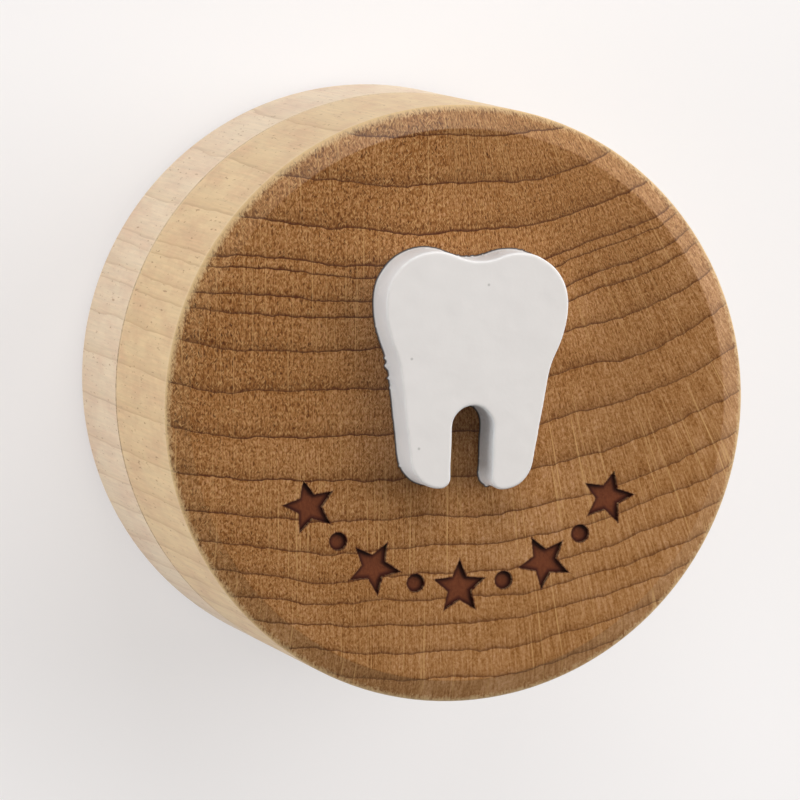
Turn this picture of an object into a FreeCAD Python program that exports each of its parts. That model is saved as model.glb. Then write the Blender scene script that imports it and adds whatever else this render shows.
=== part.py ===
# Round box for milk teeth, turned from beech: a cup, a lift-off lid, a painted tooth and hidden magnets.
# It stands on its cup with the lid up. The axis of the box is Z and the origin is under the cup.
# +Y points to the crown of the tooth on the lid.

import FreeCAD, Part
import math
import os
import Sketcher

# Driving sizes: alias, value, meaning. Lengths are in millimetres, angles in degrees.
SIZES = [
    ("box_diameter", 50, "outside of the cup and the lid"),
    ("cup_height", 13.5, "underside to the parting line"),
    ("lid_height", 18.5, "parting line to the face of the lid"),
    ("hollow_corner_radius", 2.5, "round at the bottom of each bore"),
    ("floor_thickness", 4.5, "wood under the bore of the cup"),
    ("roof_thickness", 7, "wood over the bore of the lid"),
    ("spigot_wall", 2.5, "ring on the cup that centres the lid"),
    ("spigot_height", 3, "ring above the parting line"),
    ("spigot_lead_in", 0.5, "bevel at the top of the ring"),
    ("spigot_clearance", 0.15, "between the ring and its socket, per side"),
    ("spigot_end_gap", 0.3, "above the ring, so that the rims meet"),
    ("rim_bevel_width", 1.9, "bevel of the face, along the radius"),
    ("rim_bevel_depth", 1.1, "bevel of the face, along the axis"),
    ("foot_bevel", 0.9, "bevel round the underside"),
    ("seam_break", 0.2, "sharp edge taken off at the parting line"),
    ("edge_radius", 0.25, "sanded round on the bevels"),
    ("magnet_pairs", 3, "magnet pairs round the rims"),
    ("magnet_diameter", 4, "disc magnet"),
    ("magnet_height", 3, "disc magnet"),
    ("magnet_edge", 0.2, "bevel of a disc magnet"),
    ("magnet_glue_gap", 0.05, "glue round a magnet, per side"),
    ("magnet_set_back", 0.1, "magnet below the rim"),
    ("magnet_wall", 1.1, "wood each side of a magnet hole, which sets the width of the rims"),
    ("tooth_width", 15.7, "crown of the tooth"),
    ("tooth_height", 19.7, "cusps to root tips"),
    ("tooth_thickness", 4, "plaque on the face"),
    ("tooth_edge_radius", 0.2, "sanded front edge"),
    ("tooth_right", 0.2, "centre of the tooth beside the axis"),
    ("tooth_up", 3.25, "centre of the tooth above the axis"),
    ("tooth_lean_angle", -2.2, "lean of the tooth"),
    ("cusp_radius", 4.25, "shoulders of the crown"),
    ("cusp_dip", 0.75, "dip between the cusps"),
    ("flank_radius", 9.5, "swell of the crown"),
    ("waist_radius", 7.1, "hollow of the neck"),
    ("waist_inset", 1.5, "neck inside the crown, per side"),
    ("root_taper", 8.5, "lean of a root's outer side"),
    ("root_tip_radius", 0.9, "inner corner of a root tip"),
    ("arch_width", 3.55, "between the roots"),
    ("arch_height", 6.95, "between the roots"),
    ("ornament_diameter", 30.5, "circle that the stars lie on"),
    ("ornament_angle", 116, "first star to last star"),
    ("ornament_depth", 0.4, "engraving"),
    ("star_count", 5, "engraved stars"),
    ("star_diameter", 4.6, "across the points of a star"),
    ("star_dent_share", 0.46, "inner corners over outer points"),
    ("dot_diameter", 1.5, "engraved dots between the stars"),
]

BOX_RADIUS = "sizes.box_diameter / 2"
MAGNET_HOLE = "(sizes.magnet_diameter + 2 * sizes.magnet_glue_gap)"
RIM_WIDTH = f"({MAGNET_HOLE} + 2 * sizes.magnet_wall)"
MAGNET_CIRCLE = f"({BOX_RADIUS} - {RIM_WIDTH} / 2)"
SOCKET_RADIUS = f"({BOX_RADIUS} - {RIM_WIDTH})"
SPIGOT_RADIUS = f"({SOCKET_RADIUS} - sizes.spigot_clearance)"
SPIGOT_TOP = "(sizes.cup_height + sizes.spigot_height)"
HOLLOW_RADIUS = f"({SPIGOT_RADIUS} - sizes.spigot_wall)"
SOCKET_DEPTH = "(sizes.spigot_height + sizes.spigot_end_gap)"
CEILING = "(sizes.lid_height - sizes.roof_thickness)"
FACE_HEIGHT = "(sizes.cup_height + sizes.lid_height)"
MAGNET_HOLE_DEPTH = "(sizes.magnet_height + sizes.magnet_set_back)"
FIRST_MAGNET_ANGLE = 90
STAR_POINT_COUNT = 5
ROOT_START_SHARE = 0.75

# The numbers by which a sketch knows the points of a line or arc, its axes and its origin
START_INDEX, END_INDEX, CENTRE_INDEX = 1, 2, 3
X_AXIS_INDEX, Y_AXIS_INDEX = -1, -2
ORIGIN_INDICES = (-1, 1)
SAME_PLACE = 1e-6

doc = FreeCAD.newDocument("tooth_box")
sheet = doc.addObject("Spreadsheet::Sheet", "sizes")
for row, (alias, number, meaning) in enumerate(SIZES, start=1):
    sheet.set(f"A{row}", meaning)
    sheet.set(f"B{row}", str(number))
    sheet.setAlias(f"B{row}", alias)
doc.recompute()


def size(expression):
    """The value of an expression in the sheet's sizes."""
    return float(sheet.evalExpression(expression))


def new_body(label):
    body = doc.addObject("PartDesign::Body", label)
    body.Label = label
    return body


def new_sketch(body, name, plane_role, height=None):
    """A sketch on one of the body's own planes, raised along the plane's normal."""
    plane = next(item for item in body.Origin.OriginFeatures if item.Role == plane_role)
    sketch = body.newObject("Sketcher::SketchObject", name)
    sketch.AttachmentSupport = (plane, [""])
    sketch.MapMode = "FlatFace"
    if height:
        sketch.setExpression("AttachmentOffset.Base.z", height)
    return sketch


def drive(sketch, name, expression, kind, *places):
    """Adds a constraint whose value follows the sheet."""
    start_value = size(expression)
    if kind == "Angle":
        start_value = math.radians(start_value)
    sketch.renameConstraint(sketch.addConstraint(Sketcher.Constraint(kind, *places, start_value)), name)
    sketch.setExpression(f"Constraints.{name}", expression)


def hold_across(sketch, name, expression, geometry, point):
    """Holds a point at a distance beside the sketch's upright axis."""
    if abs(size(expression)) < SAME_PLACE:
        sketch.addConstraint(Sketcher.Constraint("PointOnObject", geometry, point, Y_AXIS_INDEX))
    else:
        drive(sketch, f"{name}_across", expression, "DistanceX", *ORIGIN_INDICES, geometry, point)


def hold_up(sketch, name, expression, geometry, point):
    """Holds a point at a distance above the sketch's level axis."""
    if abs(size(expression)) < SAME_PLACE:
        sketch.addConstraint(Sketcher.Constraint("PointOnObject", geometry, point, X_AXIS_INDEX))
    else:
        drive(sketch, f"{name}_up", expression, "DistanceY", *ORIGIN_INDICES, geometry, point)


def draw_outline(sketch, corners):
    """A closed outline of straight lines through corners that are given as expressions."""
    points = [FreeCAD.Vector(size(across), size(up), 0) for across, up in corners]
    lines = [
        sketch.addGeometry(Part.LineSegment(point, points[(i + 1) % len(points)]))
        for i, point in enumerate(points)
    ]
    for i, line in enumerate(lines):
        after = lines[(i + 1) % len(lines)]
        sketch.addConstraint(Sketcher.Constraint("Coincident", line, END_INDEX, after, START_INDEX))
        across, up = corners[i]
        hold_across(sketch, f"corner_{i}", across, line, START_INDEX)
        hold_up(sketch, f"corner_{i}", up, line, START_INDEX)


def draw_circle(sketch, across, up, diameter):
    place = FreeCAD.Vector(size(across), size(up), 0)
    upright = FreeCAD.Vector(0, 0, 1)
    circle = sketch.addGeometry(Part.Circle(place, upright, size(diameter) / 2))
    hold_across(sketch, "centre", across, circle, CENTRE_INDEX)
    hold_up(sketch, "centre", up, circle, CENTRE_INDEX)
    drive(sketch, "width", diameter, "Diameter", circle)


def turn_on_lathe(body, corners):
    """Turns a half section, given as radius and height, into a solid."""
    section = new_sketch(body, f"{body.Name}_section", "XZ_Plane")
    draw_outline(section, corners)
    turned = body.newObject("PartDesign::Revolution", f"{body.Name}_turned")
    turned.Profile = section
    turned.ReferenceAxis = (section, ["V_Axis"])
    doc.recompute()
    return turned


def ring_edges(feature, radius, height):
    """Names of a feature's circular edges of this radius at this height."""
    found = []
    for number, edge in enumerate(feature.Shape.Edges, start=1):
        if not isinstance(edge.Curve, Part.Circle):
            continue
        same_radius = abs(edge.Curve.Radius - size(radius)) < SAME_PLACE
        same_height = abs(edge.Curve.Center.z - size(height)) < SAME_PLACE
        if same_radius and same_height:
            found.append(f"Edge{number}")
    return found


def round_edges(body, feature, name, edges, radius):
    rounded = body.newObject("PartDesign::Fillet", name)
    rounded.Base = (feature, edges)
    rounded.setExpression("Radius", radius)
    doc.recompute()
    return rounded


def cut_pocket(body, sketch, name, depth, upward=False):
    pocket = body.newObject("PartDesign::Pocket", name)
    pocket.Profile = sketch
    pocket.Reversed = upward
    pocket.setExpression("Length", depth)
    doc.recompute()
    return pocket


def repeat_round_axis(body, pocket, name, count, angle):
    """Repeats a pocket round the body's axis, from where it is through the angle."""
    pattern = body.newObject("PartDesign::PolarPattern", name)
    pattern.Originals = [pocket]
    pattern.Axis = (pocket.Profile[0], ["N_Axis"])
    pattern.setExpression("Angle", angle)
    pattern.setExpression("Occurrences", count)
    body.Tip = pattern
    doc.recompute()


def drill_magnet_holes(body, rim_height, upward):
    sketch = new_sketch(body, f"{body.Name}_magnet_hole", "XY_Plane", rim_height)
    draw_circle(sketch, "0", MAGNET_CIRCLE, MAGNET_HOLE)
    hole = cut_pocket(body, sketch, f"{body.Name}_hole", MAGNET_HOLE_DEPTH, upward)
    repeat_round_axis(body, hole, f"{body.Name}_holes", "sizes.magnet_pairs", "360")


def make_cup():
    body = new_body("base_cup")
    turned = turn_on_lathe(body, [
        ("0", "0"),
        (f"{BOX_RADIUS} - sizes.foot_bevel", "0"),
        (BOX_RADIUS, "sizes.foot_bevel"),
        (BOX_RADIUS, "sizes.cup_height - sizes.seam_break"),
        (f"{BOX_RADIUS} - sizes.seam_break", "sizes.cup_height"),
        (SPIGOT_RADIUS, "sizes.cup_height"),
        (SPIGOT_RADIUS, f"{SPIGOT_TOP} - sizes.spigot_lead_in"),
        (f"{SPIGOT_RADIUS} - sizes.spigot_lead_in", SPIGOT_TOP),
        (f"{HOLLOW_RADIUS} + sizes.seam_break", SPIGOT_TOP),
        (HOLLOW_RADIUS, f"{SPIGOT_TOP} - sizes.seam_break"),
        (HOLLOW_RADIUS, "sizes.floor_thickness"),
        ("0", "sizes.floor_thickness"),
    ])
    foot = ring_edges(turned, f"{BOX_RADIUS} - sizes.foot_bevel", "0")
    foot += ring_edges(turned, BOX_RADIUS, "sizes.foot_bevel")
    sanded = round_edges(body, turned, "sanded_foot", foot, "sizes.edge_radius")
    corner = ring_edges(sanded, HOLLOW_RADIUS, "sizes.floor_thickness")
    round_edges(body, sanded, "well_corner", corner, "sizes.hollow_corner_radius")
    drill_magnet_holes(body, "sizes.cup_height", upward=False)
    return body


def engrave_star(body, height):
    """One five-pointed star at the left end of the row, repeated along its arc."""
    sketch = new_sketch(body, "star_outline", "XY_Plane", height)
    sketch.setExpression("AttachmentOffset.Rotation.Angle", "-sizes.ornament_angle / 2")
    corners = []
    for i in range(2 * STAR_POINT_COUNT):
        reach = "sizes.star_diameter / 2" if i % 2 == 0 else "sizes.star_diameter / 2 * sizes.star_dent_share"
        angle = 90 + 180 / STAR_POINT_COUNT * i
        across = f"{reach} * cos({angle} deg)"
        corners.append((across, f"{reach} * sin({angle} deg) - sizes.ornament_diameter / 2"))
    draw_outline(sketch, corners)
    star = cut_pocket(body, sketch, "star", "sizes.ornament_depth")
    repeat_round_axis(body, star, "stars", "sizes.star_count", "sizes.ornament_angle")


def engrave_dots(body, height):
    """A dot between each two stars."""
    step = "sizes.ornament_angle / (sizes.star_count - 1)"
    sketch = new_sketch(body, "dot_outline", "XY_Plane", height)
    sketch.setExpression("AttachmentOffset.Rotation.Angle", f"{step} / 2 - sizes.ornament_angle / 2")
    draw_circle(sketch, "0", "-sizes.ornament_diameter / 2", "sizes.dot_diameter")
    dot = cut_pocket(body, sketch, "dot", "sizes.ornament_depth")
    repeat_round_axis(body, dot, "dots", "sizes.star_count - 1", f"sizes.ornament_angle - {step}")


def make_lid():
    """The lid is drawn with its rim at zero and then set on the cup."""
    body = new_body("lid")
    turned = turn_on_lathe(body, [
        (SOCKET_RADIUS, "0"),
        (f"{BOX_RADIUS} - sizes.seam_break", "0"),
        (BOX_RADIUS, "sizes.seam_break"),
        (BOX_RADIUS, "sizes.lid_height - sizes.rim_bevel_depth"),
        (f"{BOX_RADIUS} - sizes.rim_bevel_width", "sizes.lid_height"),
        ("0", "sizes.lid_height"),
        ("0", CEILING),
        (HOLLOW_RADIUS, CEILING),
        (HOLLOW_RADIUS, SOCKET_DEPTH),
        (SOCKET_RADIUS, SOCKET_DEPTH),
    ])
    rim = ring_edges(turned, BOX_RADIUS, "sizes.lid_height - sizes.rim_bevel_depth")
    rim += ring_edges(turned, f"{BOX_RADIUS} - sizes.rim_bevel_width", "sizes.lid_height")
    sanded = round_edges(body, turned, "sanded_rim", rim, "sizes.edge_radius")
    corner = ring_edges(sanded, HOLLOW_RADIUS, CEILING)
    round_edges(body, sanded, "ceiling_corner", corner, "sizes.hollow_corner_radius")
    drill_magnet_holes(body, None, upward=True)
    engrave_star(body, "sizes.lid_height")
    engrave_dots(body, "sizes.lid_height")
    body.setExpression("Placement.Base.z", "sizes.cup_height")
    return body


def draw_half_tooth(sketch):
    """The right half of a molar: cusp, swell, neck, root and half of the arch, all tangent to one another."""
    half_width, top = size("sizes.tooth_width / 2"), size("sizes.tooth_height / 2")
    cusp, dip = size("sizes.cusp_radius"), size("sizes.cusp_dip")
    flank, waist, tip = size("sizes.flank_radius"), size("sizes.waist_radius"), size("sizes.root_tip_radius")
    neck, arch = half_width - size("sizes.waist_inset"), size("sizes.arch_width / 2")
    arch_top = size("sizes.arch_height") - top
    valley = ((half_width - cusp) ** 2 + dip**2) / (2 * dip) - cusp
    root = (neck - arch - tip) * ROOT_START_SHARE

    # A rough start that the sketch then solves: centre, radius and the two ends of each arc, anticlockwise
    def arc(across, up, radius, from_angle, to_angle):
        circle = Part.Circle(FreeCAD.Vector(across, up, 0), FreeCAD.Vector(0, 0, 1), radius)
        return sketch.addGeometry(Part.ArcOfCircle(circle, math.radians(from_angle), math.radians(to_angle)))

    def line(from_across, from_up, to_across, to_up):
        ends = FreeCAD.Vector(from_across, from_up, 0), FreeCAD.Vector(to_across, to_up, 0)
        return sketch.addGeometry(Part.LineSegment(*ends))

    dip_arc = arc(0, top - dip + valley, valley, 270, 292)
    cusp_arc = arc(half_width - cusp, top - cusp, cusp, 0, 112)
    flank_arc = arc(half_width - flank, top - cusp, flank, -25, 0)
    waist_arc = arc(neck + waist, 0, waist, 155, 173)
    root_line = line(arch + tip + root, root - top, neck, 0)
    root_arc = arc(arch + tip, root - top, root, 270, 353)
    tip_arc = arc(arch + tip, tip - top, tip, 180, 270)
    arch_line = line(arch, tip - top, arch, arch_top - arch)
    arch_arc = arc(0, arch_top - arch, arch, 0, 90)
    middle = line(0, arch_top, 0, top - dip)

    for first, first_end, second, second_end in (
        (dip_arc, END_INDEX, cusp_arc, END_INDEX),
        (cusp_arc, START_INDEX, flank_arc, END_INDEX),
        (flank_arc, START_INDEX, waist_arc, START_INDEX),
        (waist_arc, END_INDEX, root_line, END_INDEX),
        (root_line, START_INDEX, root_arc, END_INDEX),
        (root_arc, START_INDEX, tip_arc, END_INDEX),
        (tip_arc, START_INDEX, arch_line, START_INDEX),
        (arch_line, END_INDEX, arch_arc, START_INDEX),
    ):
        sketch.addConstraint(Sketcher.Constraint("Tangent", first, first_end, second, second_end))
    sketch.addConstraint(Sketcher.Constraint("Coincident", arch_arc, END_INDEX, middle, START_INDEX))
    sketch.addConstraint(Sketcher.Constraint("Coincident", middle, END_INDEX, dip_arc, START_INDEX))
    hold_across(sketch, "arch_middle", "0", middle, START_INDEX)
    hold_across(sketch, "dip_middle", "0", middle, END_INDEX)
    hold_across(sketch, "dip_centre", "0", dip_arc, CENTRE_INDEX)
    hold_across(sketch, "arch_centre", "0", arch_arc, CENTRE_INDEX)
    sketch.addConstraint(Sketcher.Constraint("Vertical", arch_line))
    sketch.addConstraint(Sketcher.Constraint("Horizontal", cusp_arc, CENTRE_INDEX, cusp_arc, START_INDEX))
    sketch.addConstraint(Sketcher.Constraint("Vertical", root_arc, CENTRE_INDEX, root_arc, START_INDEX))

    drive(sketch, "cusp", "sizes.cusp_radius", "Radius", cusp_arc)
    drive(sketch, "flank", "sizes.flank_radius", "Radius", flank_arc)
    drive(sketch, "waist", "sizes.waist_radius", "Radius", waist_arc)
    drive(sketch, "tip", "sizes.root_tip_radius", "Radius", tip_arc)
    drive(sketch, "taper", "90 - sizes.root_taper", "Angle", root_line)
    half_span = "sizes.tooth_width / 2"
    half_rise = "sizes.tooth_height / 2"
    hold_across(sketch, "crown", half_span, cusp_arc, START_INDEX)
    hold_across(sketch, "neck", f"{half_span} - sizes.waist_inset", root_line, END_INDEX)
    hold_across(sketch, "arch", "sizes.arch_width / 2", arch_line, START_INDEX)
    hold_up(sketch, "cusp", f"{half_rise} - sizes.cusp_radius", cusp_arc, CENTRE_INDEX)
    hold_up(sketch, "dip", f"{half_rise} - sizes.cusp_dip", middle, END_INDEX)
    hold_up(sketch, "root", f"-{half_rise}", root_arc, START_INDEX)
    hold_up(sketch, "arch", f"sizes.arch_height - {half_rise}", middle, START_INDEX)


def make_tooth():
    body = new_body("tooth")
    outline = new_sketch(body, "half_tooth", "XY_Plane")
    draw_half_tooth(outline)
    half = body.newObject("PartDesign::Pad", "half_plaque")
    half.Profile = outline
    half.setExpression("Length", "sizes.tooth_thickness")
    doc.recompute()
    whole = body.newObject("PartDesign::Mirrored", "whole_plaque")
    whole.Originals = [half]
    whole.MirrorPlane = (outline, ["V_Axis"])
    body.Tip = whole
    doc.recompute()
    front = size("sizes.tooth_thickness")
    edges = [
        f"Edge{number}"
        for number, edge in enumerate(whole.Shape.Edges, start=1)
        if abs(edge.BoundBox.ZMin - front) < SAME_PLACE
    ]
    round_edges(body, whole, "sanded_front", edges, "sizes.tooth_edge_radius")
    body.Placement.Rotation.Axis = FreeCAD.Vector(0, 0, 1)
    body.setExpression("Placement.Rotation.Angle", "sizes.tooth_lean_angle")
    body.setExpression("Placement.Base.x", "sizes.tooth_right")
    body.setExpression("Placement.Base.y", "sizes.tooth_up")
    body.setExpression("Placement.Base.z", FACE_HEIGHT)
    return body


def make_magnet(label, angle, height):
    """A disc magnet standing on its lower face at a place on the magnet circle."""
    body = new_body(label)
    sketch = new_sketch(body, f"{label}_disc", "XY_Plane")
    draw_circle(sketch, "0", "0", "sizes.magnet_diameter")
    disc = body.newObject("PartDesign::Pad", f"{label}_pad")
    disc.Profile = sketch
    disc.setExpression("Length", "sizes.magnet_height")
    doc.recompute()
    radius = "sizes.magnet_diameter / 2"
    bevel = body.newObject("PartDesign::Chamfer", f"{label}_bevel")
    bevel.Base = (disc, ring_edges(disc, radius, "0") + ring_edges(disc, radius, "sizes.magnet_height"))
    bevel.setExpression("Size", "sizes.magnet_edge")
    body.setExpression("Placement.Base.x", f"{MAGNET_CIRCLE} * cos({angle} deg)")
    body.setExpression("Placement.Base.y", f"{MAGNET_CIRCLE} * sin({angle} deg)")
    body.setExpression("Placement.Base.z", height)
    return body


def make_magnets():
    """Each pair faces its partner across the parting line, and each disc sits on the bottom of its hole."""
    pairs = int(size("sizes.magnet_pairs"))
    magnets = []
    for i in range(pairs):
        angle = FIRST_MAGNET_ANGLE + 360 * i / pairs
        hole_bottom = f"sizes.cup_height - {MAGNET_HOLE_DEPTH}"
        magnets.append(make_magnet(f"base_magnet_{i + 1}", angle, hole_bottom))
        magnets.append(make_magnet(f"lid_magnet_{i + 1}", angle, "sizes.cup_height + sizes.magnet_set_back"))
    return magnets


def check(bodies):
    """Stops when an object failed, a cut took nothing away or a piece is not one valid solid."""
    for item in doc.Objects:
        if "Invalid" in item.State or "Error" in item.State:
            raise RuntimeError(f"{item.Name} failed: {item.State}")
    for body in bodies:
        for feature in body.Group:
            cuts = feature.TypeId in ("PartDesign::Pocket", "PartDesign::PolarPattern")
            if cuts and feature.Shape.Volume >= feature.BaseFeature.Shape.Volume:
                raise RuntimeError(f"{feature.Name} cuts nothing")
        if body.Shape.isNull() or not body.Shape.isValid() or len(body.Shape.Solids) != 1:
            raise RuntimeError(f"{body.Label} is not one valid solid")


pieces = [make_cup(), make_lid(), make_tooth(), *make_magnets()]
doc.recompute()
check(pieces)
os.makedirs("parts", exist_ok=True)
for piece in pieces:
    piece.Shape.exportStep(f"parts/{piece.Label}.step")
    box = piece.Shape.BoundBox
    print(f"{piece.Label}: {piece.Shape.Volume:.1f} mm3, Z {box.ZMin:.2f} to {box.ZMax:.2f}")
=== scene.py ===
import math
import bmesh
import bpy
from mathutils import Matrix, Vector, noise


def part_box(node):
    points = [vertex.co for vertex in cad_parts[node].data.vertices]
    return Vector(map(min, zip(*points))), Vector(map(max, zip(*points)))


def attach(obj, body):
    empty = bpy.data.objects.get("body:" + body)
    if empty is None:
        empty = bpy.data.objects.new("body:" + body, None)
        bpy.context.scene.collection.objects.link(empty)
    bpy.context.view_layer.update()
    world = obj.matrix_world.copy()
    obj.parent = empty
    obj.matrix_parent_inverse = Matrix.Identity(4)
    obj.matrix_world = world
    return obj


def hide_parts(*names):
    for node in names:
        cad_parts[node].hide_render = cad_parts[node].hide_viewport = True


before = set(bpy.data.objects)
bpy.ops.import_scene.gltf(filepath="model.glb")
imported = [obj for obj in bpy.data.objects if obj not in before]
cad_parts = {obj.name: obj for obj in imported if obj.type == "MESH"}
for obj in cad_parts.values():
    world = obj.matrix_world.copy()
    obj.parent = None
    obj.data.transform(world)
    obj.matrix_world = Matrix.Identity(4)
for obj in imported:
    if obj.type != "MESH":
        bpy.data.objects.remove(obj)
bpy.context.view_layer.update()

MM = 0.001
lid_low, lid_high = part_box("lid")
cup_low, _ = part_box("base_cup")
tooth_low, tooth_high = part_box("tooth")
BOX_RADIUS = lid_high.x
SEAM_HEIGHT = lid_low.z
FACE_HEIGHT = lid_high.z
RIM_BEVEL_DEPTH = 1.1 * MM

# The engraved row of stars, with a dot between each two
STAR_COUNT = 5
STAR_POINT_COUNT = 5
STAR_ARC = 15.25 * MM
STAR_ROW = math.radians(116)
STAR_STEP = STAR_ROW / (STAR_COUNT - 1)
STAR_REACH = 2.3 * MM
STAR_DENT_SHARE = 0.46
DOT_REACH = 0.75 * MM
FAR_FROM_ROW = 9 * MM
ENGRAVED_ZONE = 1 * MM
BURN_RAGGED = 0.2 * MM

# Camera of the photograph, fitted to the two rims and the parting line
CAMERA_TURN = math.radians(15.593)
CAMERA_TIP = math.radians(5.786)
CAMERA_DISTANCE = 25 * BOX_RADIUS
CAMERA_LENS = 337.3
SENSOR_WIDTH = 36
FARTHEST_SEEN = 10
AIM_RIGHT = -4.683 * MM
AIM_UP = 0.343 * MM

# Studio, with lengths in metres
FLOOR_REACH = 60 * BOX_RADIUS
FLOOR_DROP = 0.02 * MM
FLOOR_GLOW_SHARE = 0.6
ROOM_LIGHT = 0.16
LAMP_DISTANCE = 0.6

# Kinds of node
NOISE = "ShaderNodeTexNoise"
MATH = "ShaderNodeMath"
VECTOR = "ShaderNodeVectorMath"
RANGE = "ShaderNodeMapRange"
MIX = "ShaderNodeMix"
SPLIT = "ShaderNodeSeparateXYZ"
JOIN = "ShaderNodeCombineXYZ"

# Growth rings on the middle of the face: heights above the axis in mm, read one by one
RING_HEIGHTS = (
    29.2, 25.6, 22.3, 18.4, 14.6, 11.6, 10.8, 8.7, 7.4, 4.5, 1.2,
    -2.4, -6.1, -9.3, -11.8, -14.3, -16.4, -18.4, -20.7, -22.9, -25.4, -28.2,
)
RING_REACH = 30
RING_STEP = 0.25
# The dark line at a ring's end, from full to nothing, in mm
RING_LINE_CORE = 0.06
RING_LINE_EDGE = 0.23
# Late wood fills the last share of a ring, and the whole ring darkens slowly
LATE_SHARE = 0.4
LATE_DEPTH = 0.7
SLOW_DARKENING = 0.25
# The heart of the tree lies above the face, in mm. The rings hang straighter on the left of it.
HEART_HEIGHT = 46.0
HEART_LEFT = 1.0
RING_LEAN_SHARE = 0.16
STRAIGHT_SIDE_SHARE = 0.35
# Near the left rim the rings turn up, in mm
RIM_TURN = 0.5
RIM_TURN_START = 18.0
LEFT_SIDE_START = -4.0
LEFT_SIDE_FULL = -14.0
# The rings' slow and fine wander: length in mm, detail, and reach in mm
RING_WANDERS = ((8, 1.0, 0.8), (1.3, 2.0, 0.26))
# Along the trunk the wander is drawn out five times
TRUNK_SHARE = 0.2

# Spots of end grain, in mm along the ring, the spoke and the trunk
# Real vessels are under 0.1 mm wide, too fine to show, so they are drawn coarser
VESSEL_SIZE = (0.16, 0.3, 2)
CUT_FIBRE_SIZE = (0.1, 0.36, 2)
CUT_FIBRE_LEANS = (0.5, -0.7)
FINE_RAY_SIZE = (0.13, 2.5, 2)
BROAD_RAY_SIZE = (0.18, 16, 2)
CLOUD_SIZE = (10, 10, 10)
# Green and blue follow the grain's light and dark more strongly than red, by these powers
GREEN_POWER = 1.45
BLUE_POWER = 2.6
# From the upper left of the face to the lower right, in mm from the axis
ROUGH_SIDE_END = -11.0
SMOOTH_SIDE_START = 18.0

# Spots of side grain, in mm: two ways across the trunk, then along it
SIDE_FIBRE_SIZE = (0.25, 0.25, 6)
FLECK_SIZE = (0.25, 0.25, 1)
PATCH_SIZE = (2.5, 2.5, 6)
# The rings show more softly there
SIDE_LATE_SHARE = 0.42
SIDE_LINE_SHARE = 0.3

# Worn edges, in mm, and the share of the pale tone where they are worn through. The pale tone is partly
# painted light: a painted highlight along the rim, painted light in the seam's shaded groove, and more
# at the upper left where the light falls.
RIM_WEAR_AND_HIGHLIGHT = 0.55
SEAM_WEAR_AND_LIGHT = 0.5
FOOT_WEAR = 0.7
WEAR_START = -0.6
WEAR_RAGGED = 1.2
MORE_WEAR_AND_LIGHT = 0.2
MORE_WEAR_AND_LIGHT_START = 12.0
MORE_WEAR_AND_LIGHT_FULL = 24.0
WEAR_AND_LIGHT_SHARE = 0.7

# Paint and metal, in mm. The arch wall lies between the roots, up to a height above their tips.
PAINT_CLOUD = 2.5
PAINT_GRIT = 0.3
SAWN_SPECKLE = 0.35
SPECK_SPACING = 9
SPECK_CORE = 0.072
SPECK_EDGE = 0.144
ARCH_WALL_REACH = 2.4
ARCH_WALL_END = 3.2
ARCH_TOP = 9
# The dark glue line at the tooth's foot is also a painted contact shadow
GLUE_AND_SHADOW_LINE_CORE = 0.12
GLUE_AND_SHADOW_LINE_EDGE = 0.17
NICKEL_MARK = 0.6

# Shape of the painted tooth. The saw marks fade up the wall by a power.
MERGE_REACH = 0.001 * MM
TOOTH_MESH_STEP = 0.11 * MM
SOFTENING = 0.6
SWELL_DEPTH = 0.03 * MM
SWELL_LENGTH = 1.4 * MM
SAW_MARK_DEPTH = 0.45 * MM
SAW_MARK_WIDTH = 0.42 * MM
SAW_MARK_FLATTENING = 0.35
SAW_MARK_THRESHOLD = 0.25
SAW_MARK_FADE = 3
TORN_DEPTH = 0.2 * MM
TORN_THRESHOLD_DROP = 0.3
TORN_REACH = 3.5 * MM
TORN_INSET = 1.05 * MM
TORN_HEIGHT_SHARE = 0.52
GLUE_HEIGHT = 0.08 * MM
GLUE_REACH = 0.16 * MM
LEAST_WALL_SHARE = 0.2


def hex_colour(code):
    """An sRGB hex colour as a linear RGBA value."""
    parts = [int(code[i:i + 2], 16) / 255 for i in (1, 3, 5)]
    linear = [p / 12.92 if p <= 0.04045 else ((p + 0.055) / 1.055) ** 2.4 for p in parts]
    return (*linear, 1.0)


def add(tree, kind, inputs=None, **settings):
    """Adds a node with its settings. An input takes a value, a socket, or a node's first output."""
    node = tree.nodes.new(kind)
    for name, value in settings.items():
        setattr(node, name, value)
    for key, value in (inputs or {}).items():
        socket = node.inputs[key] if isinstance(key, int) else None
        socket = socket or next(s for s in node.inputs if s.enabled and s.name == key)
        if isinstance(value, bpy.types.Node):
            value = next(s for s in value.outputs if s.enabled)
        if isinstance(value, bpy.types.NodeSocket):
            tree.links.new(value, socket)
        else:
            socket.default_value = value
    return node


def new_material(name, **finish):
    """A material with one shader, whose constant values are set on its own sockets."""
    material = bpy.data.materials.new(name)
    material.use_nodes = True
    tree = material.node_tree
    shader = tree.nodes["Principled BSDF"]
    for socket, value in finish.items():
        shader.inputs[socket.replace("_", " ")].default_value = value
    return material, tree, shader


def plug(tree, node, socket):
    """Links a node's first output to a shader socket."""
    tree.links.new(next(s for s in node.outputs if s.enabled), socket)


def place_on_object(tree):
    """The point on the object, in mm, and the way its surface faces."""
    place = add(tree, "ShaderNodeTexCoord")
    point = add(tree, VECTOR, {0: place.outputs["Object"], "Scale": 1 / MM}, operation="SCALE")
    return point, place.outputs["Normal"]


def distance_from_axis(tree, point):
    """How far a point lies from the axis of the box, in mm."""
    flat = add(tree, VECTOR, {0: point, 1: (1, 1, 0)}, operation="MULTIPLY")
    return add(tree, VECTOR, {0: flat}, operation="LENGTH").outputs["Value"]


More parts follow.
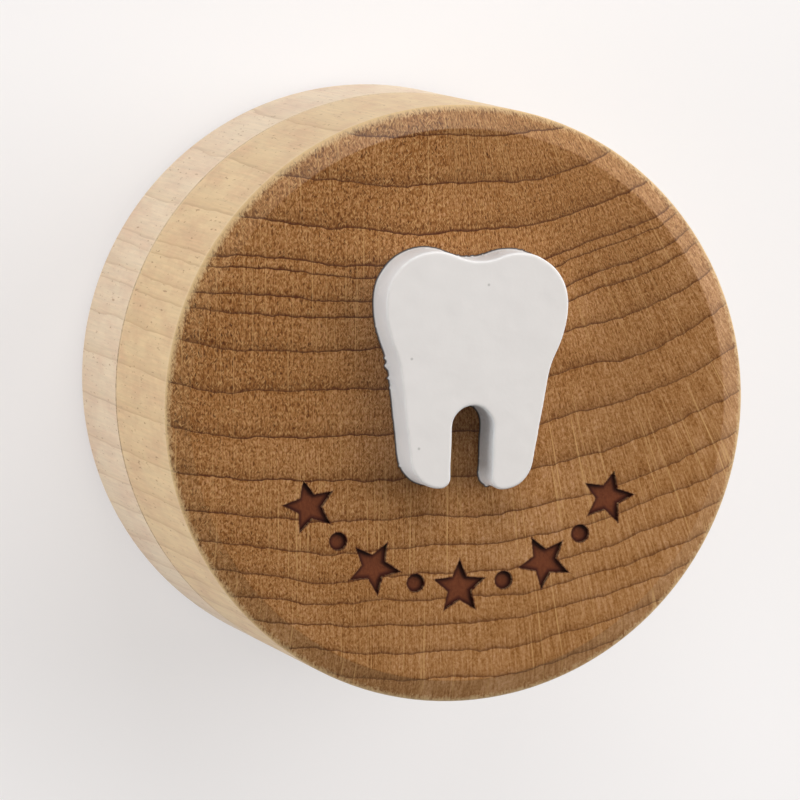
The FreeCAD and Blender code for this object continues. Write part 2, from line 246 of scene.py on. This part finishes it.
def stretched_grain(tree, place, size, **look):
    """Wood grain whose spots have this size along each axis, in mm."""
    per_mm = tuple(1 / length for length in size)
    scaled = add(tree, VECTOR, {0: place, 1: per_mm}, operation="MULTIPLY")
    return add(tree, NOISE, {"Vector": scaled, "Scale": 1.0, **look})


def two_sides(tree, across):
    """The part of a distance to the right of the heart, and the part to its left, which is negative."""
    right = add(tree, MATH, {0: across, 1: 0.0}, operation="MAXIMUM")
    left = add(tree, MATH, {0: across, 1: 0.0}, operation="MINIMUM")
    return right, left


def place_in_log(tree, point):
    """Where a point lies in the log, in mm: along the ring, out from the heart and along the trunk."""
    x, y, z = add(tree, SPLIT, {0: point}).outputs
    # Slow and fine wander of the rings, drawn out along the trunk
    trunk = add(tree, VECTOR, {0: point, 1: (1, 1, TRUNK_SHARE)}, operation="MULTIPLY")
    height = y
    for length, detail, reach in RING_WANDERS:
        wave = add(tree, NOISE, {"Vector": trunk, "Scale": 1 / length, "Detail": detail})
        shift = add(tree, RANGE, {"Value": wave, "To Min": -reach, "To Max": reach})
        height = add(tree, MATH, {0: height, 1: shift}, operation="ADD")
    # The rings turn up towards the left rim
    from_axis = distance_from_axis(tree, point)
    near_rim = {"Value": from_axis, "From Min": RIM_TURN_START, "From Max": BOX_RADIUS / MM}
    turn = add(tree, RANGE, {**near_rim, "To Max": RIM_TURN}, interpolation_type="SMOOTHSTEP")
    to_left = {"Value": x, "From Min": LEFT_SIDE_FULL, "From Max": LEFT_SIDE_START}
    on_left = add(tree, RANGE, {**to_left, "To Min": -1.0, "To Max": 0.0})
    height = add(tree, MATH, {0: turn, 1: on_left, 2: height}, operation="MULTIPLY_ADD")
    # Distance from the heart
    leant = add(tree, MATH, {0: height, 1: -RING_LEAN_SHARE, 2: x}, operation="MULTIPLY_ADD")
    across = add(tree, MATH, {0: leant, 1: HEART_LEFT}, operation="ADD")
    right, left = two_sides(tree, across)
    width = add(tree, MATH, {0: left, 1: STRAIGHT_SIDE_SHARE, 2: right}, operation="MULTIPLY_ADD")
    below = add(tree, MATH, {0: HEART_HEIGHT, 1: height}, operation="SUBTRACT")
    spoke = add(tree, JOIN, {"X": width, "Y": below})
    radius = add(tree, VECTOR, {0: spoke}, operation="LENGTH").outputs["Value"]
    level = add(tree, MATH, {0: HEART_HEIGHT, 1: radius}, operation="SUBTRACT")
    # Length along the ring: the spokes fan out on the right and hang straight on the left
    upright = add(tree, MATH, {0: x, 1: HEART_LEFT}, operation="ADD")
    fan_side, straight_side = two_sides(tree, upright)
    depth = add(tree, MATH, {0: HEART_HEIGHT, 1: y}, operation="SUBTRACT")
    angle = add(tree, MATH, {0: fan_side, 1: depth}, operation="ARCTAN2")
    along = add(tree, MATH, {0: angle, 1: HEART_HEIGHT, 2: straight_side}, operation="MULTIPLY_ADD")
    return along, level, z


def growth_rings(tree, level):
    """Late wood that darkens towards each ring's end, and the thin dark line there, both from 0 to 1."""
    last = len(RING_HEIGHTS) - 1
    stops = sorted(((ring / RING_REACH + 1) / 2, i / last) for i, ring in enumerate(RING_HEIGHTS))
    # The curve turns a height into a ring number. It is read at two heights to find the ring's width.
    numbers = []
    for drop in (0.0, RING_STEP):
        lower = add(tree, MATH, {0: level, 1: drop}, operation="SUBTRACT")
        share = add(tree, RANGE, {"Value": lower, "From Min": -RING_REACH, "From Max": RING_REACH})
        curve = add(tree, "ShaderNodeFloatCurve", {"Value": share})
        points = curve.mapping.curves[0].points
        points[0].location = stops[0]
        points[1].location = stops[-1]
        for stop in stops[1:-1]:
            points.new(*stop)
        for stop in points:
            stop.handle_type = "VECTOR"
        curve.mapping.update()
        numbers.append(add(tree, MATH, {0: curve, 1: float(last)}, operation="MULTIPLY"))
    grown = add(tree, MATH, {0: numbers[0]}, operation="FRACT")
    gain = add(tree, MATH, {0: numbers[1], 1: numbers[0]}, operation="SUBTRACT")
    width = add(tree, MATH, {0: RING_STEP, 1: gain}, operation="DIVIDE")
    left_to_grow = add(tree, MATH, {0: 1.0, 1: grown}, operation="SUBTRACT")
    above = add(tree, MATH, {0: left_to_grow, 1: width}, operation="MULTIPLY")
    end = {"Value": left_to_grow, "From Min": 0.0, "From Max": LATE_SHARE}
    end = {**end, "To Min": LATE_DEPTH, "To Max": 0.0}
    late = add(tree, RANGE, end, interpolation_type="SMOOTHSTEP")
    late = add(tree, MATH, {0: grown, 1: SLOW_DARKENING, 2: late}, operation="MULTIPLY_ADD")
    thin = {"Value": above, "From Min": RING_LINE_CORE, "From Max": RING_LINE_EDGE}
    line = add(tree, RANGE, {**thin, "To Min": 1.0, "To Max": 0.0})
    return late, line


def end_grain(tree, point, log, late, line):
    """Brown end grain with dark vessels, bright cut fibres, pale rays and thin dark ring lines."""
    along, level, trunk = add(tree, SPLIT, {0: log}).outputs
    vessels = stretched_grain(tree, log, VESSEL_SIZE, Detail=2.0, Roughness=0.6, Distortion=0.6)
    # Cut fibres lie across each other
    strokes = []
    for lean in CUT_FIBRE_LEANS:
        leant = add(tree, MATH, {0: level, 1: lean, 2: along}, operation="MULTIPLY_ADD")
        place = add(tree, JOIN, {"X": leant, "Y": level, "Z": trunk})
        strokes.append(stretched_grain(tree, place, CUT_FIBRE_SIZE, Detail=1.0))
    crossed = add(tree, MATH, {0: strokes[0], 1: strokes[1]}, operation="MAXIMUM")
    glints = add(tree, RANGE, {"Value": crossed, "From Min": 0.59, "From Max": 0.71})
    threads = stretched_grain(tree, log, FINE_RAY_SIZE, Detail=1.0)
    broad_rays = stretched_grain(tree, log, BROAD_RAY_SIZE, Detail=1.0)
    rays = add(tree, RANGE, {"Value": broad_rays, "From Min": 0.62, "From Max": 0.74, "To Max": 0.6})
    cloud = stretched_grain(tree, point, CLOUD_SIZE, Detail=2.0)

    # The upper left is darker and rougher, the lower right paler and finely threaded
    to_lower_right = (0.7, -0.7, 0)
    slant = add(tree, VECTOR, {0: point, 1: to_lower_right}, operation="DOT_PRODUCT").outputs["Value"]
    sides = {"Value": slant, "From Min": ROUGH_SIDE_END, "From Max": SMOOTH_SIDE_START}
    smooth_side = add(tree, RANGE, sides)
    early = {"Factor": smooth_side, "A": hex_colour("#93602F"), "B": hex_colour("#A47343")}
    grown = {"Factor": smooth_side, "A": hex_colour("#76481D"), "B": hex_colour("#8B5D32")}
    early = add(tree, MIX, early, data_type="RGBA")
    grown = add(tree, MIX, grown, data_type="RGBA")
    end = add(tree, MIX, {"Factor": late, "A": early, "B": grown}, data_type="RGBA")
    slow = {"Value": cloud, "From Min": 0.3, "From Max": 0.7, "To Min": 0.88, "To Max": 1.12}
    tone = add(tree, RANGE, slow)
    for pattern, most, least in ((vessels, 0.58, 0.2), (threads, 0.17, 0.2)):
        swing = {"Value": pattern, "From Min": 0.34, "From Max": 0.66, "To Min": -1.0, "To Max": 1.0}
        swing = add(tree, RANGE, swing)
        depth = add(tree, RANGE, {"Value": smooth_side, "To Min": most, "To Max": least})
        tone = add(tree, MATH, {0: swing, 1: depth, 2: tone}, operation="MULTIPLY_ADD")
    # Dark spots are redder, bright ones greyer
    green = add(tree, MATH, {0: tone, 1: GREEN_POWER}, operation="POWER")
    blue = add(tree, MATH, {0: tone, 1: BLUE_POWER}, operation="POWER")
    tint = add(tree, JOIN, {"X": tone, "Y": green, "Z": blue})
    end = add(tree, VECTOR, {0: end, 1: tint}, operation="MULTIPLY")
    # Bright fibres, fainter on the smooth side, and pale rays
    depth = add(tree, RANGE, {"Value": smooth_side, "To Min": 0.72, "To Max": 0.22})
    bright = add(tree, MATH, {0: glints, 1: depth}, operation="MULTIPLY")
    bright = add(tree, MATH, {0: bright, 1: rays}, operation="MAXIMUM")
    end = add(tree, MIX, {"Factor": bright, "A": end, "B": hex_colour("#CFA26A")}, data_type="RGBA")
    # Ring lines, fainter in places and on the smooth side
    depth = {"Value": cloud, "From Min": 0.3, "From Max": 0.7, "To Min": 0.65, "To Max": 1.0}
    drawn = add(tree, MATH, {0: line, 1: add(tree, RANGE, depth)}, operation="MULTIPLY")
    fade = add(tree, RANGE, {"Value": smooth_side, "To Min": 1.0, "To Max": 0.6})
    drawn = add(tree, MATH, {0: drawn, 1: fade}, operation="MULTIPLY")
    end = add(tree, MIX, {"Factor": drawn, "A": end, "B": hex_colour("#4A1E04")}, data_type="RGBA")
    return end, vessels, drawn


def side_grain(tree, point, late, drawn, pale, flush, ring, fleck):
    """Pale side grain with soft ring bands, pinkish patches, fine fibres and short brown flecks."""
    fibres = stretched_grain(tree, point, SIDE_FIBRE_SIZE, Detail=3.0, Roughness=0.6)
    dashes = stretched_grain(tree, point, FLECK_SIZE, Detail=1.0)
    flecks = add(tree, RANGE, {"Value": dashes, "From Min": 0.67, "From Max": 0.76, "To Max": 0.75})
    blush = stretched_grain(tree, point, PATCH_SIZE, Detail=4.0, Roughness=0.65)
    patches = add(tree, RANGE, {"Value": blush, "From Min": 0.42, "From Max": 0.66, "To Max": 0.8})

    soft_late = add(tree, MATH, {0: late, 1: SIDE_LATE_SHARE}, operation="MULTIPLY")
    bands = {"Factor": soft_late, "A": hex_colour(pale), "B": hex_colour(ring)}
    side = add(tree, MIX, bands, data_type="RGBA")
    side = add(tree, MIX, {"Factor": patches, "A": side, "B": hex_colour(flush)}, data_type="RGBA")
    soft_line = add(tree, MATH, {0: drawn, 1: SIDE_LINE_SHARE}, operation="MULTIPLY")
    dark = add(tree, MATH, {0: soft_line, 1: flecks}, operation="MAXIMUM")
    side = add(tree, MIX, {"Factor": dark, "A": side, "B": hex_colour(fleck)}, data_type="RGBA")
    streak = {"Value": fibres, "From Min": 0.3, "From Max": 0.7, "To Min": 0.92, "To Max": 1.08}
    side = add(tree, VECTOR, {0: side, "Scale": add(tree, RANGE, streak)}, operation="SCALE")
    return side, fibres


def worn_and_lit_edges(tree, point, wood, vessels, edges, pale):
    """Wears the turned edges pale, a little more at the upper left. The pale edges are partly painted
    light: a highlight on the rim, light in the seam's shaded groove, and more where the light falls at
    the upper left.
    """
    trunk = add(tree, SPLIT, {0: point}).outputs["Z"]
    profile = add(tree, JOIN, {"X": distance_from_axis(tree, point), "Y": trunk})
    # Paler at the upper left: wear and painted light where the light falls
    to_upper_left = (-0.6, 0.8, 0)
    reach = add(tree, VECTOR, {0: point, 1: to_upper_left}, operation="DOT_PRODUCT").outputs["Value"]
    upper_left = {"Value": reach, "From Min": MORE_WEAR_AND_LIGHT_START, "From Max": MORE_WEAR_AND_LIGHT_FULL}
    more_wear_and_light = add(tree, RANGE, {**upper_left, "To Max": MORE_WEAR_AND_LIGHT})
    for height, wear in edges:
        corner = (BOX_RADIUS / MM, height / MM, 0)
        gap = add(tree, VECTOR, {0: profile, 1: corner}, operation="DISTANCE").outputs["Value"]
        gap = add(tree, MATH, {0: vessels, 1: -WEAR_RAGGED, 2: gap}, operation="MULTIPLY_ADD")
        gap = add(tree, MATH, {0: gap, 1: more_wear_and_light}, operation="SUBTRACT")
        worn_and_lit = {"Value": gap, "From Min": WEAR_START, "From Max": WEAR_START + wear}
        worn_and_lit = add(tree, RANGE, {**worn_and_lit, "To Min": WEAR_AND_LIGHT_SHARE, "To Max": 0.0})
        wood = add(tree, MIX, {"Factor": worn_and_lit, "A": wood, "B": hex_colour(pale)}, data_type="RGBA")
    return wood


def beech(name, edges, pale, flush, ring, fleck):
    """Bare sanded beech: brown speckled end grain with dark ring lines, and pale, straight side grain.

    Both are cut from one log, so a ring on the face runs on down the side. The tree's rays are thin
    upright ribbons: pale spokes on the end grain and short brown flecks on the side.
    """
    material, tree, shader = new_material(name, Roughness=0.44, IOR=1.45, Specular_IOR_Level=0.5)
    point, normal = place_on_object(tree)
    along, level, trunk = place_in_log(tree, point)
    late, line = growth_rings(tree, level)
    log = add(tree, JOIN, {"X": along, "Y": level, "Z": trunk})
    end, vessels, drawn = end_grain(tree, point, log, late, line)
    side, fibres = side_grain(tree, point, late, drawn, pale, flush, ring, fleck)

    # End grain shows where the surface faces along the trunk
    facing = add(tree, SPLIT, {0: normal})
    flatness = add(tree, MATH, {0: facing.outputs["Z"]}, operation="ABSOLUTE")
    is_end = add(tree, RANGE, {"Value": flatness, "From Min": 0.3, "From Max": 0.9})
    wood = add(tree, MIX, {"Factor": is_end, "A": side, "B": end}, data_type="RGBA")
    wood = worn_and_lit_edges(tree, point, wood, vessels, edges, pale)

    grain = add(tree, MIX, {"Factor": is_end, "A": fibres, "B": vessels}, data_type="FLOAT")
    bump = add(tree, "ShaderNodeBump", {"Strength": 0.3, "Distance": 0.06 * MM, "Height": grain})
    plug(tree, bump, shader.inputs["Normal"])
    return material, tree, shader, point, wood, vessels


def fold(tree, turn, step, start=0.0):
    """The turn from the nearest of many even steps, the first of which lies at a share of a step."""
    steps = add(tree, MATH, {0: turn, 1: step}, operation="DIVIDE")
    moved = add(tree, MATH, {0: steps, 1: start}, operation="SUBTRACT")
    nearest = add(tree, MATH, {0: moved}, operation="ROUND")
    rest = add(tree, MATH, {0: moved, 1: nearest}, operation="SUBTRACT")
    return add(tree, MATH, {0: rest, 1: step}, operation="MULTIPLY")


def burnt_outline(tree, point):
    """Distance from the outline of the nearest engraved star or dot, in mm, negative inside it."""
    x, y, _ = add(tree, SPLIT, {0: point}).outputs
    from_axis = distance_from_axis(tree, point)
    down = add(tree, MATH, {0: y, 1: -1.0}, operation="MULTIPLY")
    angle = add(tree, MATH, {0: x, 1: down}, operation="ARCTAN2")
    # Fold the arc onto one star in its middle, and onto one dot
    centres = []
    for start in (0.0, 0.5):
        turn = fold(tree, angle, STAR_STEP, start)
        sine = add(tree, MATH, {0: turn}, operation="SINE")
        cosine = add(tree, MATH, {0: turn}, operation="COSINE")
        across = add(tree, MATH, {0: from_axis, 1: sine}, operation="MULTIPLY")
        drop = add(tree, MATH, {0: from_axis, 1: cosine}, operation="MULTIPLY")
        rise = add(tree, MATH, {0: STAR_ARC / MM, 1: drop}, operation="SUBTRACT")
        centres.append(add(tree, JOIN, {"X": across, "Y": rise}))
    # Fold the star onto one edge from a point to a dent
    across, rise, _ = add(tree, SPLIT, {0: centres[0]}).outputs
    reach = add(tree, VECTOR, {0: centres[0]}, operation="LENGTH").outputs["Value"]
    turn = add(tree, MATH, {0: across, 1: rise}, operation="ARCTAN2")
    point_step = math.tau / STAR_POINT_COUNT
    folded = add(tree, MATH, {0: fold(tree, turn, point_step)}, operation="ABSOLUTE")
    to_dent = Vector((math.cos(point_step / 2), math.sin(point_step / 2)))
    dent = to_dent * STAR_DENT_SHARE * STAR_REACH / MM
    tip = Vector((STAR_REACH / MM, 0))
    edge = Vector((dent.y - tip.y, tip.x - dent.x)).normalized()
    cosine = add(tree, MATH, {0: folded}, operation="COSINE")
    sine = add(tree, MATH, {0: folded}, operation="SINE")
    spoke = add(tree, JOIN, {"X": cosine, "Y": sine})
    spoke = add(tree, VECTOR, {0: spoke, "Scale": reach}, operation="SCALE")
    out = add(tree, VECTOR, {0: spoke, 1: (*edge, 0)}, operation="DOT_PRODUCT").outputs["Value"]
    from_star = add(tree, MATH, {0: out, 1: edge.dot(tip)}, operation="SUBTRACT")
    from_dot = add(tree, VECTOR, {0: centres[1]}, operation="LENGTH").outputs["Value"]
    from_dot = add(tree, MATH, {0: from_dot, 1: DOT_REACH / MM}, operation="SUBTRACT")
    nearest = add(tree, MATH, {0: from_star, 1: from_dot}, operation="MINIMUM")
    # The row ends with its outer stars
    width = add(tree, MATH, {0: angle}, operation="ABSOLUTE")
    row_end = STAR_ROW / 2 + STAR_STEP / 4
    past = add(tree, MATH, {0: width, 1: row_end}, operation="GREATER_THAN")
    return add(tree, MATH, {0: past, 1: FAR_FROM_ROW / MM, 2: nearest}, operation="MULTIPLY_ADD")


def lid_beech():
    """Beech of the lid. The engraving in its face is scorched, darkest at its outline."""
    edges = ((FACE_HEIGHT - RIM_BEVEL_DEPTH, RIM_WEAR_AND_HIGHLIGHT), (SEAM_HEIGHT, SEAM_WEAR_AND_LIGHT))
    tones = ("#DCBE8E", "#CEA67A", "#C5A06A", "#9C6C3C")
    material, tree, shader, point, wood, vessels = beech("beech_lid", edges, *tones)
    height = add(tree, SPLIT, {0: point}).outputs["Z"]
    engraved = (FACE_HEIGHT - ENGRAVED_ZONE) / MM
    on_face = add(tree, MATH, {0: height, 1: engraved}, operation="GREATER_THAN")
    outline = burnt_outline(tree, point)
    gap = add(tree, MATH, {0: vessels, 1: BURN_RAGGED / MM, 2: outline}, operation="MULTIPLY_ADD")
    inside = {"Value": gap, "From Min": 0.08, "From Max": 0.22, "To Min": 1.0, "To Max": 0.0}
    burnt = add(tree, MATH, {0: add(tree, RANGE, inside), 1: on_face}, operation="MULTIPLY")
    middle = {"Value": gap, "From Min": -0.28, "From Max": -0.02, "To Min": 1.0, "To Max": 0.0}
    middle = add(tree, RANGE, middle)
    floor = {"Factor": vessels, "A": hex_colour("#54240F"), "B": hex_colour("#824728")}
    floor = add(tree, MIX, floor, data_type="RGBA")
    scorch = {"Factor": middle, "A": hex_colour("#43190D"), "B": floor}
    scorch = add(tree, MIX, scorch, data_type="RGBA")
    wood = add(tree, MIX, {"Factor": burnt, "A": wood, "B": scorch}, data_type="RGBA")
    plug(tree, wood, shader.inputs["Base Color"])
    return material


def cup_beech():
    """Beech of the cup, a paler stretch of the same wood."""
    edges = ((SEAM_HEIGHT, SEAM_WEAR_AND_LIGHT), (cup_low.z, FOOT_WEAR))
    tones = ("#E3CDAE", "#D9BA9C", "#D0B48C", "#A87F55")
    material, tree, shader, _, wood, _ = beech("beech_cup", edges, *tones)
    plug(tree, wood, shader.inputs["Base Color"])
    return material


def tooth_paint():
    """Matte white paint on wood: warm on the face, cooler on the sawn wall, dark glue at its foot. The
    wall's cooler, brighter tone is painted light, and the glue's dark is also a painted contact shadow.
    """
    material, tree, shader = new_material("matte_white_paint", Roughness=0.45, IOR=1.5)
    point, normal = place_on_object(tree)
    x, y, z = add(tree, SPLIT, {0: point}).outputs
    upward = add(tree, SPLIT, {0: normal}).outputs["Z"]
    tone = add(tree, NOISE, {"Vector": point, "Scale": 1 / PAINT_CLOUD, "Detail": 3.0})
    # The wall is painted cooler and brighter than the face: painted light on its sides
    face = {"Factor": tone, "A": hex_colour("#E2DDD9"), "B": hex_colour("#EBE6E2")}
    wall = {"Factor": tone, "A": hex_colour("#EDF1F4"), "B": hex_colour("#F8FAFB")}
    face = add(tree, MIX, face, data_type="RGBA")
    wall = add(tree, MIX, wall, data_type="RGBA")
    paint = add(tree, MIX, {"Factor": upward, "A": wall, "B": face}, data_type="RGBA")
    # A few specks of dust in the paint of the face
    apart = {"Vector": point, "Scale": 1 / SPECK_SPACING}
    cells = add(tree, "ShaderNodeTexVoronoi", apart, voronoi_dimensions="2D")
    core = SPECK_CORE / SPECK_SPACING
    edge = SPECK_EDGE / SPECK_SPACING
    near = {"Value": cells.outputs["Distance"], "From Min": core, "From Max": edge}
    near = add(tree, RANGE, {**near, "To Min": 0.45, "To Max": 0.0})
    on_face = add(tree, MATH, {0: upward, 1: 0.9}, operation="GREATER_THAN")
    speck = add(tree, MATH, {0: near, 1: on_face}, operation="MULTIPLY")
    paint = add(tree, MIX, {"Factor": speck, "A": paint, "B": hex_colour("#8B8680")}, data_type="RGBA")
    # Thin, speckled paint on the sawn wall between the roots, its darker tone partly painted shade in
    # the narrow arch
    middle = (tooth_low.x + tooth_high.x) / 2 / MM
    across = add(tree, MATH, {0: x, 1: middle}, operation="SUBTRACT")
    across = add(tree, MATH, {0: across}, operation="ABSOLUTE")
    arch = {"Value": across, "From Min": ARCH_WALL_REACH, "From Max": ARCH_WALL_END}
    arch = add(tree, RANGE, {**arch, "To Min": 1.0, "To Max": 0.0})
    upright = {"Value": upward, "From Min": 0.2, "From Max": 0.7, "To Min": 0.8, "To Max": 0.0}
    upright = add(tree, RANGE, upright)
    low = add(tree, MATH, {0: y, 1: tooth_low.y / MM + ARCH_TOP}, operation="LESS_THAN")
    thin = add(tree, MATH, {0: arch, 1: upright}, operation="MULTIPLY")
    thin = add(tree, MATH, {0: thin, 1: low}, operation="MULTIPLY")
    speckle = add(tree, NOISE, {"Vector": point, "Scale": 1 / SAWN_SPECKLE, "Detail": 2.0})
    sawn_and_shaded = {"Factor": speckle, "A": hex_colour("#D8D9DA"), "B": hex_colour("#F8F9FA")}
    sawn_and_shaded = add(tree, MIX, sawn_and_shaded, data_type="RGBA")
    paint = add(tree, MIX, {"Factor": thin, "A": paint, "B": sawn_and_shaded}, data_type="RGBA")
    # The glue line, painted dark also as the tooth's contact shadow at its foot
    foot = tooth_low.z / MM
    glue = {"Value": z, "From Min": foot + GLUE_AND_SHADOW_LINE_CORE, "From Max": foot + GLUE_AND_SHADOW_LINE_EDGE}
    glue = add(tree, RANGE, {**glue, "To Min": 0.9, "To Max": 0.0})
    paint = add(tree, MIX, {"Factor": glue, "A": paint, "B": hex_colour("#2F2119")}, data_type="RGBA")
    plug(tree, paint, shader.inputs["Base Color"])
    grit = add(tree, NOISE, {"Vector": point, "Scale": 1 / PAINT_GRIT, "Detail": 2.0})
    bump = add(tree, "ShaderNodeBump", {"Strength": 0.12, "Distance": 0.05 * MM, "Height": grit})
    plug(tree, bump, shader.inputs["Normal"])
    return material


def nickel_plate():
    """Bright nickel plate on the disc magnets: warm grey metal with faint handling marks."""
    grey = hex_colour("#C9C3BA")
    material, tree, shader = new_material("bright_nickel_plate", Metallic=1.0, Base_Color=grey)
    point, _ = place_on_object(tree)
    marks = add(tree, NOISE, {"Vector": point, "Scale": 1 / NICKEL_MARK, "Detail": 3.0})
    rough = add(tree, RANGE, {"Value": marks, "To Min": 0.18, "To Max": 0.36})
    plug(tree, rough, shader.inputs["Roughness"])
    return material


def even_mesh(piece):
    """Gives a piece a fine, even mesh of its own shape."""
    shape = bmesh.new()
    shape.from_mesh(piece.data)
    bmesh.ops.remove_doubles(shape, verts=shape.verts, dist=MERGE_REACH)
    shape.to_mesh(piece.data)
    shape.free()
    even = piece.modifiers.new("even", "REMESH")
    even.mode = "VOXEL"
    even.voxel_size = TOOTH_MESH_STEP
    seen = piece.evaluated_get(bpy.context.evaluated_depsgraph_get())
    mesh = bpy.data.meshes.new_from_object(seen)
    piece.modifiers.clear()
    piece.data = mesh


def sawn_move(vert, torn_spot):
    """How far a point of the tooth moves: a slow swell, saw marks near the foot, and the glue."""
    spot = vert.co
    wall = 1 - abs(vert.normal.z)
    low = 1 - (spot.z - tooth_low.z) / (tooth_high.z - tooth_low.z)
    swell = SWELL_DEPTH * noise.noise(spot / SWELL_LENGTH)
    torn = max(0.0, 1 - (spot.xy - torn_spot).length / TORN_REACH)
    mark = noise.noise(Vector((spot.x, spot.y, SAW_MARK_FLATTENING * spot.z)) / SAW_MARK_WIDTH)
    mark = max(0.0, mark - SAW_MARK_THRESHOLD + TORN_THRESHOLD_DROP * torn)
    rag = (SAW_MARK_DEPTH + TORN_DEPTH * torn) * mark * low ** SAW_MARK_FADE
    out = Vector((vert.normal.x, vert.normal.y, 0)).normalized()
    at_foot = spot.z - tooth_low.z < GLUE_HEIGHT and wall > LEAST_WALL_SHARE
    glue = GLUE_REACH if at_foot else 0
    return vert.normal * (swell + wall * rag) + glue * out


def painted_tooth(paint):
    """The tooth plaque with softened painted edges, a slightly ragged sawn wall and a rim of glue."""
    piece = bpy.data.objects.new("painted_tooth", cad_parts["tooth"].data.copy())
    bpy.context.scene.collection.objects.link(piece)
    even_mesh(piece)
    mesh = piece.data
    shape = bmesh.new()
    shape.from_mesh(mesh)
    all_ways = dict(use_axis_x=True, use_axis_y=True, use_axis_z=True)
    bmesh.ops.smooth_vert(shape, verts=shape.verts, factor=SOFTENING, **all_ways)
    shape.normal_update()
    # The saw tore the wood a little at the left of the waist
    waist = tooth_low.lerp(tooth_high, TORN_HEIGHT_SHARE).y
    torn_spot = Vector((tooth_low.x + TORN_INSET, waist))
    moves = [sawn_move(vert, torn_spot) for vert in shape.verts]
    for vert, move in zip(shape.verts, moves):
        vert.co += move
        vert.co.z = min(max(vert.co.z, tooth_low.z), tooth_high.z)
    for side in shape.faces:
        side.smooth = True
    shape.to_mesh(mesh)
    shape.free()
    mesh.materials.clear()
    mesh.materials.append(paint)
    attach(piece, "lid")
    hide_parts("tooth")


def floor_paint():
    """Matte off-white paint. To the eye it is partly lit from within, so its shadow stays pale."""
    pale = hex_colour("#F8F5F4")
    material, tree, shader = new_material("matte_floor_paint", Roughness=0.9, Base_Color=pale)
    glow = add(tree, "ShaderNodeEmission", {"Color": pale, "Strength": 1.0})
    path = add(tree, "ShaderNodeLightPath")
    by_eye = path.outputs["Is Camera Ray"]
    in_metal = path.outputs["Is Glossy Ray"]
    through_glass = path.outputs["Is Transmission Ray"]
    seen = add(tree, MATH, {0: by_eye, 1: in_metal}, operation="ADD")
    seen = add(tree, MATH, {0: seen, 1: through_glass}, operation="ADD")
    share = add(tree, MATH, {0: seen, 1: FLOOR_GLOW_SHARE}, operation="MULTIPLY")
    both = add(tree, "ShaderNodeMixShader", {0: share, 1: shader, 2: glow})
    plug(tree, both, tree.nodes["Material Output"].inputs["Surface"])
    return material


def plain_floor():
    """A pale, plain studio floor."""
    mesh = bpy.data.meshes.new("floor")
    shape = bmesh.new()
    bmesh.ops.create_grid(shape, x_segments=1, y_segments=1, size=FLOOR_REACH)
    bmesh.ops.translate(shape, verts=shape.verts, vec=(0, 0, -FLOOR_DROP))
    shape.to_mesh(mesh)
    shape.free()
    floor = bpy.data.objects.new("floor", mesh)
    bpy.context.scene.collection.objects.link(floor)
    mesh.materials.append(floor_paint())


def studio_light():
    """Dim white room light and soft lamps all round.

    The key lamp on the right throws the tooth's soft shadow to the left, and the low left lamp lifts the
    pale side of the box. Only the upper and the right lamp show in the sheen of the wood.
    """
    world = bpy.data.worlds.new("white_room")
    world.use_nodes = True
    room = world.node_tree.nodes["Background"]
    room.inputs["Color"].default_value = hex_colour("#FFFFFF")
    room.inputs["Strength"].default_value = ROOM_LIGHT
    bpy.context.scene.world = world
    for name, direction, power, size, in_sheen in (
        ("upper_lamp", Vector((0.06, 0.76, 0.65)), 1.54, 0.38, True),
        ("rear_lamp", Vector((0.05, 0.97, 0.2)), 0.28, 0.3, False),
        ("right_lamp", Vector((0.92, 0.22, 0.33)), 1.0, 0.44, True),
        ("key_lamp", Vector((0.72, 0.3, 0.62)), 2.2, 0.44, False),
        ("left_lamp", Vector((-0.95, -0.12, 0.18)), 1.85, 0.3, False),
    ):
        lamp = bpy.data.lights.new(name, "AREA")
        lamp.size = size
        lamp.energy = power
        holder = bpy.data.objects.new(name, lamp)
        holder.visible_camera = False
        holder.visible_glossy = in_sheen
        holder.location = Vector((0, 0, FACE_HEIGHT)) + LAMP_DISTANCE * direction.normalized()
        holder.rotation_euler = direction.to_track_quat("Z", "Y").to_euler()
        bpy.context.scene.collection.objects.link(holder)


def photo_camera():
    """The photograph's camera: it looks down on the lid, a little from the left and above the middle."""
    turn = Matrix.Rotation(CAMERA_TIP, 3, "X") @ Matrix.Rotation(CAMERA_TURN, 3, "Y")
    back = turn.transposed()
    lens = bpy.data.cameras.new("camera")
    lens.lens = CAMERA_LENS
    lens.sensor_width = SENSOR_WIDTH
    lens.clip_end = FARTHEST_SEEN
    eye = bpy.data.objects.new("camera", lens)
    rim_centre = Vector((0, 0, FACE_HEIGHT - RIM_BEVEL_DEPTH))
    spot = rim_centre + back @ Vector((AIM_RIGHT, AIM_UP, CAMERA_DISTANCE))
    eye.matrix_world = Matrix.Translation(spot) @ back.to_4x4()
    bpy.context.scene.collection.objects.link(eye)
    bpy.context.scene.camera = eye


wood_finishes = {"lid": lid_beech(), "base_cup": cup_beech()}
nickel = nickel_plate()
for name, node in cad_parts.items():
    node.data.materials.clear()
    node.data.materials.append(wood_finishes.get(name, nickel))
painted_tooth(tooth_paint())

plain_floor()
studio_light()
photo_camera()
bpy.context.scene.view_settings.view_transform = "Standard"
